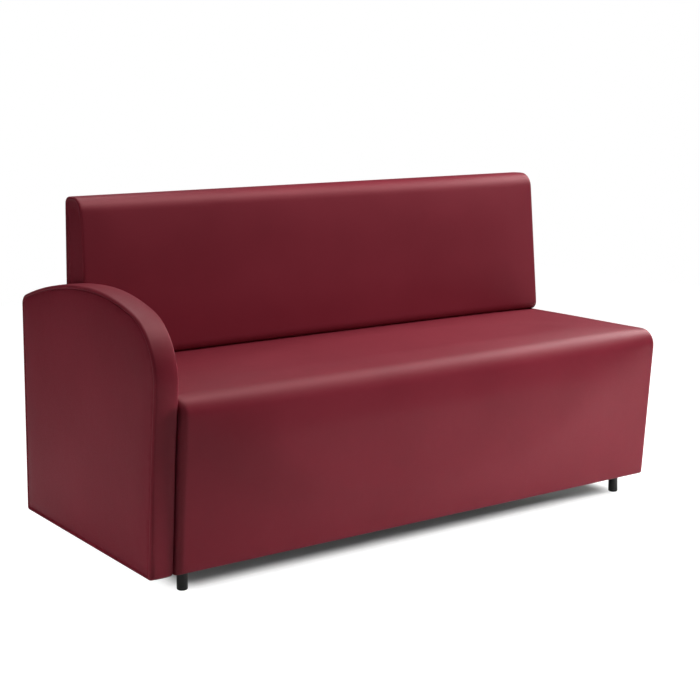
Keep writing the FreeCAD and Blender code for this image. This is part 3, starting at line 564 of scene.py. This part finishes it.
puff(seat, seat_held, SEAT_PRESSURE, MOST_SWELL)
refine(seat, 1)
crown_seat(seat)
round_to_arm(seat)
for side, end, inward in (("left", LEFT, 1), ("right", RIGHT, -1)):
    end_panel(f"seat_end_panel_{side}", seat_outline(CROWN_ROOM, PANEL_INSET), seat_rounds(PANEL_INSET),
              end + inward * SEAT_PANEL_DEPTH, end + inward * SEAT_PANEL_FACE,
              (f"base_end_cover_{side}", f"base_end_foam_{side}"))

# Back: one cover over the front, the top and the rear

def back_outline(room, inset):
    """The back's side view: front foot, rear foot, rear top and front top, with room for the crown."""
    front = room + inset - BACK_FRONT_SWELL
    foot, top = BACK_FOOT + inset, BACK_TOP - inset
    return [(BACK_FRONT_LOW + front, foot), (BACK_REAR + BACK_REAR_FLARE - inset, foot),
            (BACK_REAR + BACK_REAR_SWELL - inset, top), (BACK_FRONT_HIGH + front, top)]


def back_rounds(inset):
    """Reach and steps of the round at each corner of the back's side view."""
    return {3: (BACK_TOP_ROUND - inset, 7), 2: (BACK_REAR_ROUND - inset, 5),
            0: (BACK_FOOT_ROUND - inset, 5), 1: (BACK_REAR_FOOT_ROUND - inset, 3)}


back = wrapped_form("back_upholstery", back_outline(CROWN_ROOM, 0), back_rounds(0), BACK_END_RECESS,
                    ("back_cover", "back_foam", "back_top_foam", "back_rear_cover"))


def back_held(place):
    """How firmly the back's cover is held: at its ends, at its foot and on its rear."""
    under = 1 - smooth_step((place.z - BACK_FOOT) / HOLD_FADE)
    rear_depth, rear_run = 0.030, 0.025
    behind = smooth_step((place.y - BACK_REAR + rear_depth) / rear_run)
    return max(held_ends(place), under, behind)


def seat_back_foot(piece):
    """Lets the foot of the back follow the crown of the seat that it stands on."""
    foot_height, foot_depth = 0.060, 0.050
    for vertex in piece.data.vertices:
        place = vertex.co
        near_foot = 1 - smooth_step((place.z - BACK_FOOT) / foot_height)
        in_front = 1 - smooth_step((place.y - BACK_FRONT_LOW - foot_depth) / foot_depth)
        vertex.co.z += near_foot * in_front * seat_crown(place.x)
    piece.data.update()


puff(back, back_held, BACK_PRESSURE, MOST_SWELL)
refine(back, 1)
seat_back_foot(back)
for side, end, inward in (("left", LEFT, 1), ("right", RIGHT, -1)):
    end_panel(f"back_end_panel_{side}", back_outline(CROWN_ROOM, PANEL_INSET), back_rounds(PANEL_INSET),
              end + inward * BACK_PANEL_DEPTH, end + inward * BACK_PANEL_FACE,
              (f"back_end_cover_{side}", f"back_end_foam_{side}"))

# Dust cover under the base, stretched inside the turned-under edge of the seat cover

HEM = 0.018
DUST_COVER_DROP = 0.0008
bm = bmesh.new()
bmesh.ops.create_grid(bm, x_segments=60, y_segments=30, size=0.5)
dust_size = Vector((RIGHT - LEFT - 2 * HEM, REAR - FRONT - FRONT_RAKE - 2 * HEM, 0))
dust_middle = Vector(((LEFT + RIGHT) / 2, (REAR + FRONT + FRONT_RAKE) / 2,
                      BOTTOM - BASE_DROP - DUST_COVER_DROP))
bmesh.ops.scale(bm, verts=bm.verts, vec=(dust_size.x, dust_size.y, 1))
bmesh.ops.translate(bm, verts=bm.verts, vec=dust_middle)
bmesh.ops.reverse_faces(bm, faces=bm.faces)
dust_cover = add_piece("dust_cover", bm, finishes["dust_cloth"], "base_dust_cover")

# Arm: an outer panel, a band round the edge and an inner panel

ARM_CREST_Y = ARM_LOW.y + ARM_CREST_SETBACK
ARM_REAR = ARM_HIGH.y
ARM_TOP = ARM_HIGH.z + ARM_SWELL
ARM_BOTTOM = ARM_LOW.z - BASE_DROP


def arm_face(bm, x, inset):
    """The arm's side view at a place along x, an inset inside its outline, drawn with swung arcs."""
    crest_radius = ((ARM_CREST_SETBACK - ARM_SHOULDER_RADIUS * (1 - math.sin(ARM_SHOULDER_ANGLE)))
                    / math.sin(ARM_SHOULDER_ANGLE))
    rear_run = ARM_REAR - ARM_CREST_Y
    rear_radius = (rear_run ** 2 + ARM_REAR_DROP ** 2) / (2 * ARM_REAR_DROP)
    crest_centre = Vector((x, ARM_CREST_Y, ARM_TOP - crest_radius))
    rear_centre = Vector((x, ARM_CREST_Y, ARM_TOP - rear_radius))
    shoulder_z = crest_centre.z + (crest_radius - ARM_SHOULDER_RADIUS) * math.cos(ARM_SHOULDER_ANGLE)
    shoulder_centre = Vector((x, ARM_LOW.y + ARM_SHOULDER_RADIUS, shoulder_z))
    foot = Vector((x, ARM_LOW.y + FRONT_RAKE, ARM_BOTTOM))
    drop = foot - shoulder_centre
    away = math.sqrt(drop.length_squared - ARM_SHOULDER_RADIUS ** 2)
    facing = Vector((0, ARM_SHOULDER_RADIUS * drop.y + away * drop.z,
                     ARM_SHOULDER_RADIUS * drop.z - away * drop.y))
    facing /= drop.length_squared
    touch = shoulder_centre + facing * (ARM_SHOULDER_RADIUS - inset)
    slope = -facing.z / facing.y
    low = bm.verts.new((x, touch.y + slope * (ARM_BOTTOM + inset - touch.z), ARM_BOTTOM + inset))
    path = [low, bm.verts.new(touch)]
    turn = math.pi / 2 - ARM_SHOULDER_ANGLE + math.atan2(-facing.z, -facing.y)
    rear_turn = math.asin((rear_run - inset) / (rear_radius - inset))
    swings = ((shoulder_centre, turn, 16), (crest_centre, ARM_SHOULDER_ANGLE, 9),
              (rear_centre, rear_turn, 14))
    for centre, angle, steps in swings:
        bmesh.ops.spin(bm, geom=[path[-1]], cent=centre, axis=(1, 0, 0), angle=-angle, steps=steps,
                       use_merge=False)
        arc = [item for item in bm.verts if item not in path]
        arc.sort(key=lambda vert: math.atan2(vert.co.y - centre.y, vert.co.z - centre.z))
        path.extend(arc)
    rear_low = bm.verts.new((x, ARM_REAR - inset, ARM_BOTTOM + inset))
    corner = path[-1]
    path.append(rear_low)
    # The swung edges go, because the face brings its own
    for edge in list(bm.edges):
        bm.edges.remove(edge)
    bm.faces.new(path)
    corners = ((corner, ARM_REAR_CORNER, 6), (low, ARM_FOOT_CORNER, 3), (rear_low, ARM_FOOT_CORNER, 3))
    for spot, reach, steps in corners:
        bmesh.ops.bevel(bm, geom=[spot], offset=max(reach - inset, ARM_LEAST_CORNER), offset_type="OFFSET",
                        segments=steps, profile=0.5, affect="VERTICES", material=-1, clamp_overlap=True)


def ease_front(bm):
    """Draws the arm's front back a little below its shoulder."""
    for vert in bm.verts:
        near = smooth_step((ARM_LOW.y + ARM_EASE_REACH - vert.co.y) / ARM_EASE_REACH)
        low_down = 1 - smooth_step((vert.co.z - ARM_EASE_LOW) / ARM_EASE_RUN)
        vert.co.y += ARM_FRONT_EASE * near * low_down


def arm_outer_side():
    """The padded outer side of the arm, sewn inside the band's rolled edge and swollen between."""
    bm = bmesh.new()
    x_face, x_deep = ARM_OUTER + ARM_OUTER_PANEL_FACE, ARM_OUTER + ARM_PANEL_DEPTH
    arm_face(bm, x_face, ARM_OUTER_ROLL + ARM_OUTER_PANEL_GAP)
    finer_edges(bm, PANEL_RIM_STEP)
    stretch_along_x(bm, x_face, x_deep, PANEL_RING_STEP)
    roll_rims(bm, (x_face, x_deep), SEAM_ROLL, 2)
    crown_face(bm, x_face, -1, ARM_OUTER_CROWN, ARM_OUTER_SOFTNESS, ARM_OUTER_CROWN_STEP)
    ease_front(bm)
    return add_piece("arm_outer_panel", bm, burgundy, "arm_outer_cover", "arm_outer_foam")


def arm_edge_band():
    """The band round the arm's edge, rolled over to both sides."""
    bm = bmesh.new()
    x_outer, x_inner = ARM_OUTER + END_PLAY, ARM_INNER - END_PLAY
    arm_face(bm, x_outer, ARM_BAND_INSET)
    finer_edges(bm, BAND_RIM_STEP)
    stretch_along_x(bm, x_outer, x_inner, BAND_RING_STEP)
    bm.normal_update()
    for vert in bm.verts:
        share = (vert.co.x - x_outer) / (x_inner - x_outer)
        vert.co += Vector((0, vert.normal.y, vert.normal.z)) * ARM_BAND_CROWN * (1 - (2 * share - 1) ** 2)
    roll_rims(bm, (x_inner,), ARM_INNER_ROLL, 4)
    roll_rims(bm, (x_outer,), ARM_OUTER_ROLL, 6)
    recess_ends(bm, ((x_outer, 1), (x_inner, -1)), ARM_END_RECESS)
    ease_front(bm)
    return add_piece("arm_band", bm, burgundy, "arm_band_cover", "arm_edge_foam")


def arm_inner_side():
    """The inner side of the arm, sewn inside the band's rolled edge."""
    bm = bmesh.new()
    x_deep, x_face = ARM_INNER - ARM_PANEL_DEPTH, ARM_INNER - ARM_INNER_PANEL_FACE
    arm_face(bm, x_deep, ARM_INNER_ROLL + ARM_INNER_PANEL_GAP)
    finer_edges(bm, PANEL_RIM_STEP)
    stretch_along_x(bm, x_deep, x_face, PANEL_RING_STEP)
    roll_rims(bm, (x_deep, x_face), SEAM_ROLL, 2)
    crown_face(bm, x_face, 1, PANEL_CROWN, PANEL_SOFTNESS, PANEL_CROWN_STEP)
    ease_front(bm)
    return add_piece("arm_inner_panel", bm, burgundy, "arm_inner_cover", "arm_inner_foam")


for arm_piece in (arm_outer_side(), arm_edge_band(), arm_inner_side()):
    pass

# Studio: pale floor, soft light and the camera

# The soft-edged box on the floor under the bench where the camera sees painted shade: its middle, half
# size and fade
SHADOW_MIDDLE = (0.035, -0.020, 0)
SHADOW_HALF_SIZE = (0.625, 0.185, 0)
SHADOW_FADE = 0.090


def area_light(name, place, aim, size, power, spread=180, mirrored=True):
    """A soft lamp with an opening angle in degrees, which shiny surfaces may or may not mirror."""
    data = bpy.data.lights.new(name, "AREA")
    data.shape = "RECTANGLE"
    data.size, data.size_y = size
    data.energy = power
    data.spread = math.radians(spread)
    lamp = bpy.data.objects.new(name, data)
    lamp.visible_glossy = mirrored
    lamp.location = place
    lamp.rotation_euler = (Vector(aim) - Vector(place)).to_track_quat("-Z", "Y").to_euler()
    bpy.context.scene.collection.objects.link(lamp)


def vector_step(tree, operation, source, value=(0, 0, 0)):
    """One step of working on a place, with a fixed second value."""
    node = tree.nodes.new("ShaderNodeVectorMath")
    node.operation = operation
    node.inputs[1].default_value = value
    tree.links.new(source, node.inputs[0])
    return node


def studio_floor():
    """A pale floor that the camera sees as white outside a soft-edged box under the bench, and darkened
    inside it: a painted shade under the bench on top of its real shadow.
    """
    bm = bmesh.new()
    bmesh.ops.create_grid(bm, x_segments=1, y_segments=1, size=4)
    mesh = bpy.data.meshes.new("floor")
    bm.to_mesh(mesh)
    bm.free()
    floor = bpy.data.objects.new("floor", mesh)
    bpy.context.scene.collection.objects.link(floor)
    material = bpy.data.materials.new("floor_white_with_painted_shade")
    material.use_nodes = True
    tree = material.node_tree
    shader = tree.nodes["Principled BSDF"]
    shader.inputs["Roughness"].default_value = 0.9
    shader.inputs["Emission Color"].default_value = (1, 1, 1, 1)
    path = tree.nodes.new("ShaderNodeLightPath")
    tone = tree.nodes.new("ShaderNodeMix")
    tone.data_type = "RGBA"
    # The camera sees the floor at a darker tone than the lamps' light does; this painted shade shows
    # inside the box under the bench
    tone.inputs["A"].default_value = (0.62, 0.61, 0.61, 1)
    tone.inputs["B"].default_value = (0.30, 0.295, 0.29, 1)
    tree.links.new(path.outputs["Is Camera Ray"], tone.inputs["Factor"])
    tree.links.new(tone.outputs["Result"], shader.inputs["Base Color"])
    place = tree.nodes.new("ShaderNodeTexCoord")
    from_middle = vector_step(tree, "SUBTRACT", place.outputs["Object"], SHADOW_MIDDLE)
    either_way = vector_step(tree, "ABSOLUTE", from_middle.outputs["Vector"])
    past_edge = vector_step(tree, "SUBTRACT", either_way.outputs["Vector"], SHADOW_HALF_SIZE)
    outside = vector_step(tree, "MAXIMUM", past_edge.outputs["Vector"])
    reach = vector_step(tree, "LENGTH", outside.outputs["Vector"])
    fade = tree.nodes.new("ShaderNodeMapRange")
    fade.interpolation_type = "SMOOTHSTEP"
    fade.inputs["From Min"].default_value = 0.0
    fade.inputs["From Max"].default_value = SHADOW_FADE
    fade.inputs["To Min"].default_value = 0.03
    fade.inputs["To Max"].default_value = 1.0
    tree.links.new(reach.outputs["Value"], fade.inputs["Value"])
    # Outside the box the camera sees the floor lifted to white; inside it the lift fades out and the
    # painted shade shows
    lift = tree.nodes.new("ShaderNodeMath")
    lift.operation = "MULTIPLY"
    tree.links.new(path.outputs["Is Camera Ray"], lift.inputs[0])
    tree.links.new(fade.outputs["Result"], lift.inputs[1])
    tree.links.new(lift.outputs["Value"], shader.inputs["Emission Strength"])
    mesh.materials.append(material)


studio_floor()

# A world that is white to the camera and nearly dark to the object

world = bpy.data.worlds.new("studio")
bpy.context.scene.world = world
world.use_nodes = True
tree = world.node_tree
background = tree.nodes["Background"]
background.inputs["Color"].default_value = (1, 1, 1, 1)
path = tree.nodes.new("ShaderNodeLightPath")
seen = tree.nodes.new("ShaderNodeMath")
seen.operation = "MAXIMUM"
tree.links.new(path.outputs["Is Camera Ray"], seen.inputs[0])
tree.links.new(path.outputs["Is Transmission Ray"], seen.inputs[1])
level = tree.nodes.new("ShaderNodeMapRange")
level.inputs["To Min"].default_value = 0.02
level.inputs["To Max"].default_value = 1.0
tree.links.new(seen.outputs["Value"], level.inputs["Value"])
tree.links.new(level.outputs["Result"], background.inputs["Strength"])

# Lamps: name, place, aim, size and power

area_light("key_right", (3.3, -0.98, 0.42), (0.1, -0.68, 0.02), (0.7, 0.4), 16, spread=32, mirrored=False)
area_light("right_soft", (2.3, 0.0, 1.7), (0.6, 0.0, 0.4), (1.2, 1.2), 42)
area_light("top_soft", (0.3, -0.5, 2.6), (0.2, -0.1, 0.4), (2.0, 1.2), 43)
area_light("seat_right_soft", (1.0, -0.6, 2.0), (0.7, -0.2, 0.45), (1.0, 0.6), 1.3, spread=80)
area_light("rear_left_soft", (-0.35, 0.8, 2.3), (-0.4, 0.1, 0.6), (1.2, 1.0), 14)
area_light("front_soft", (1.2, -2.6, 2.2), (0.3, 0.1, 0.75), (1.4, 1.0), 2.8, spread=50, mirrored=False)
area_light("left_low_fill", (-3.0, 0.2, 0.35), (-0.75, 0.0, 0.15), (0.8, 0.5), 1.65,
           spread=45, mirrored=False)
area_light("left_fill", (-3.0, 0.3, 0.9), (-0.75, 0.0, 0.4), (0.8, 0.8), 10, mirrored=False)

# Camera, turned by its yaw, pitch and roll

CAMERA_PLACE = (-2.1344, -2.9666, 1.0957)
YAW, PITCH, ROLL = math.radians(33.244), math.radians(4.794), math.radians(-0.688)
forward = Vector((math.sin(YAW) * math.cos(PITCH), math.cos(YAW) * math.cos(PITCH), -math.sin(PITCH)))
sideways = Vector((math.cos(YAW), -math.sin(YAW), 0))
upward = sideways.cross(forward)
tilted_side = sideways * math.cos(ROLL) + upward * math.sin(ROLL)
tilted_up = upward * math.cos(ROLL) - sideways * math.sin(ROLL)
lens = bpy.data.cameras.new("camera")
lens.sensor_width = 36
lens.lens = 73.6
lens.shift_x = 0.0924
lens.shift_y = -0.1982
camera = bpy.data.objects.new("camera", lens)
turn = Matrix((tilted_side, tilted_up, -forward)).transposed().to_4x4()
camera.matrix_world = Matrix.Translation(CAMERA_PLACE) @ turn
bpy.context.scene.collection.objects.link(camera)
bpy.context.scene.camera = camera
bpy.context.scene.view_settings.view_transform = "Standard"
